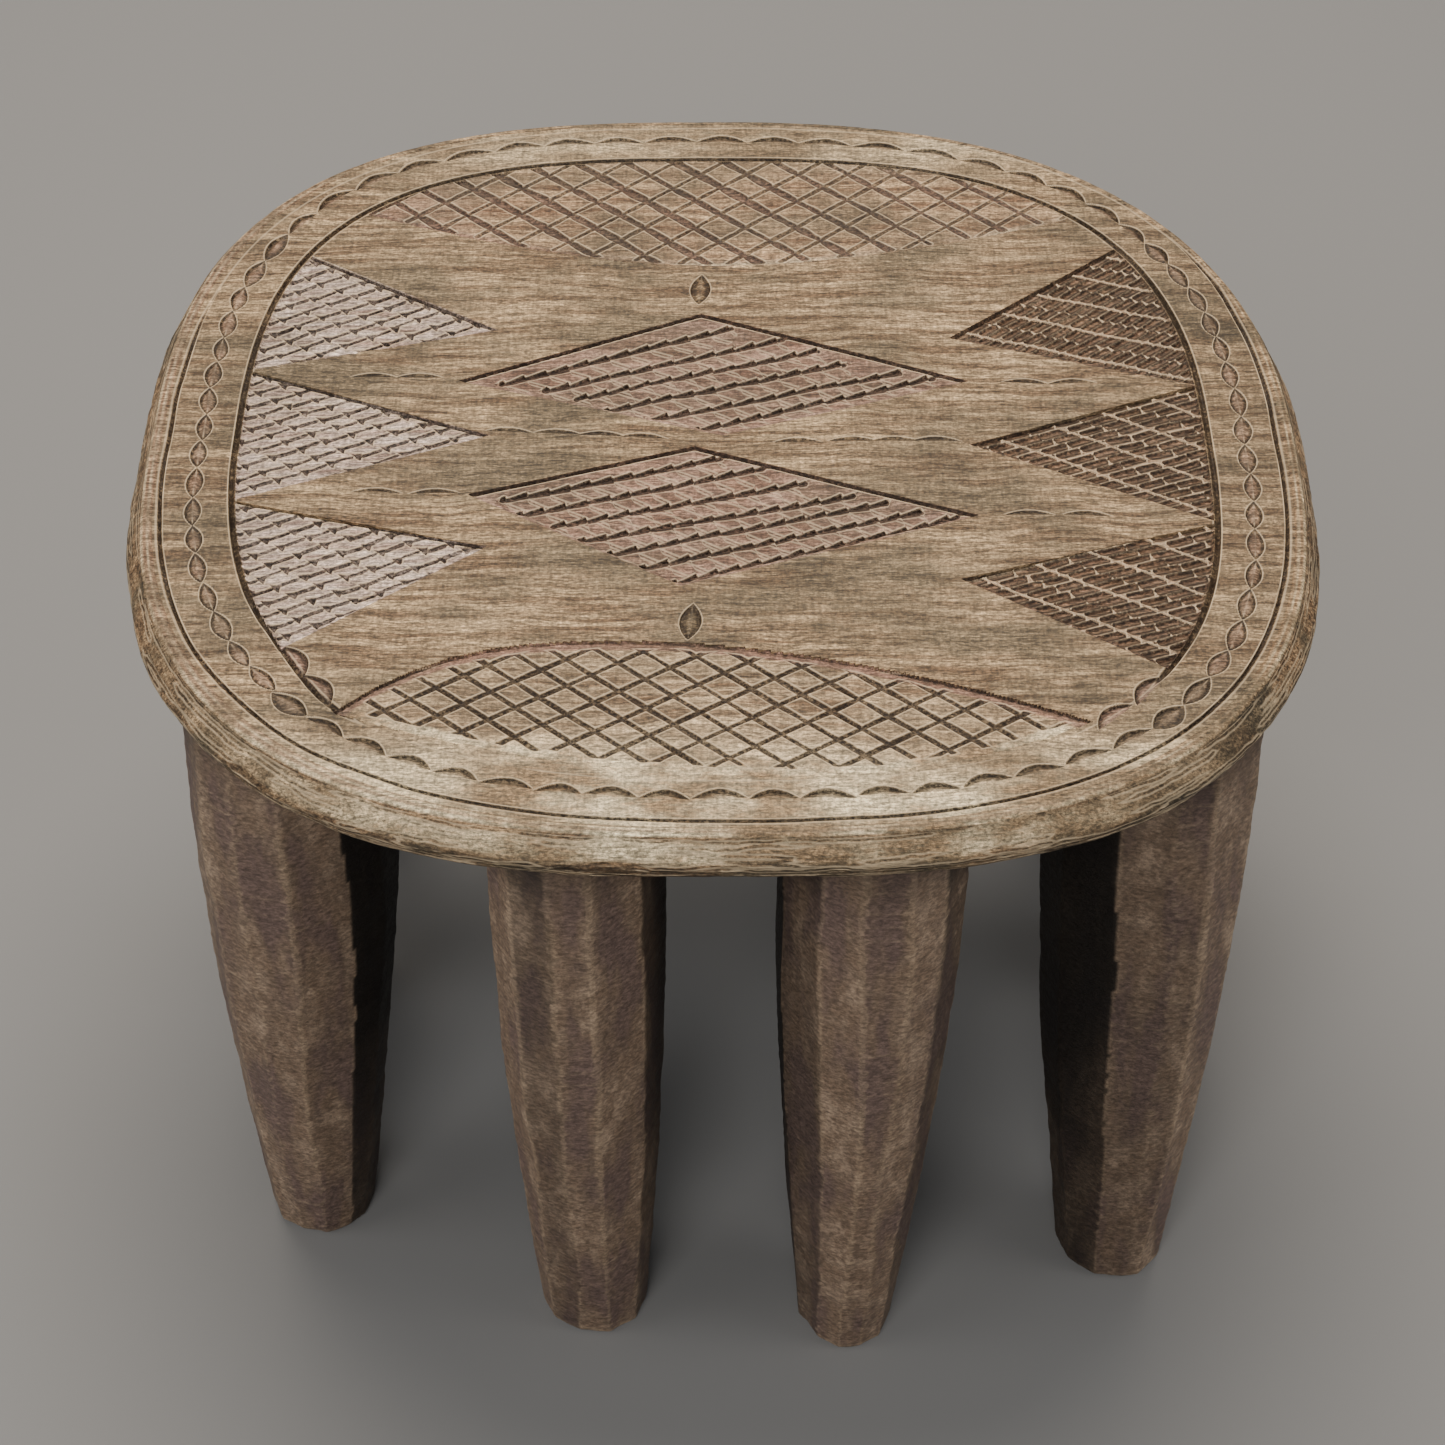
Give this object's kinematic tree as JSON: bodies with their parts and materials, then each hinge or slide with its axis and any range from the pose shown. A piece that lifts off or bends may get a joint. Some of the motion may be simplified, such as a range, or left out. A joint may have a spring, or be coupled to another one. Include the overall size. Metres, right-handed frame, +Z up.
{
  "type": "nupe stool",
  "caption": "Low hardwood stool carved from one block: a rounded-square slab seat with sunken carved fields and a border groove, on a ring of tapering hewn legs.",
  "frame": {"origin": "on the floor, under the middle of the seat's outline", "axes": "+X to the right of someone facing the front, +Y from the front to the back, +Z up"},
  "size_m": [0.505, 0.483, 0.35],
  "materials": {
    "seat_wood": "weathered, worn satin on the high places",
    "leg_wood": "dark patina over adze marks, dull"
  },
  "bodies": {
    "root": {"seat": "seat_wood", "leg_front_outer_left": "leg_wood", "leg_front_inner_left": "leg_wood", "leg_front_inner_right": "leg_wood", "leg_front_outer_right": "leg_wood", "leg_side_left": "leg_wood", "leg_side_right": "leg_wood", "leg_back_outer_left": "leg_wood", "leg_back_inner_left": "leg_wood", "leg_back_inner_right": "leg_wood", "leg_back_outer_right": "leg_wood"}
  },
  "joints": []
}
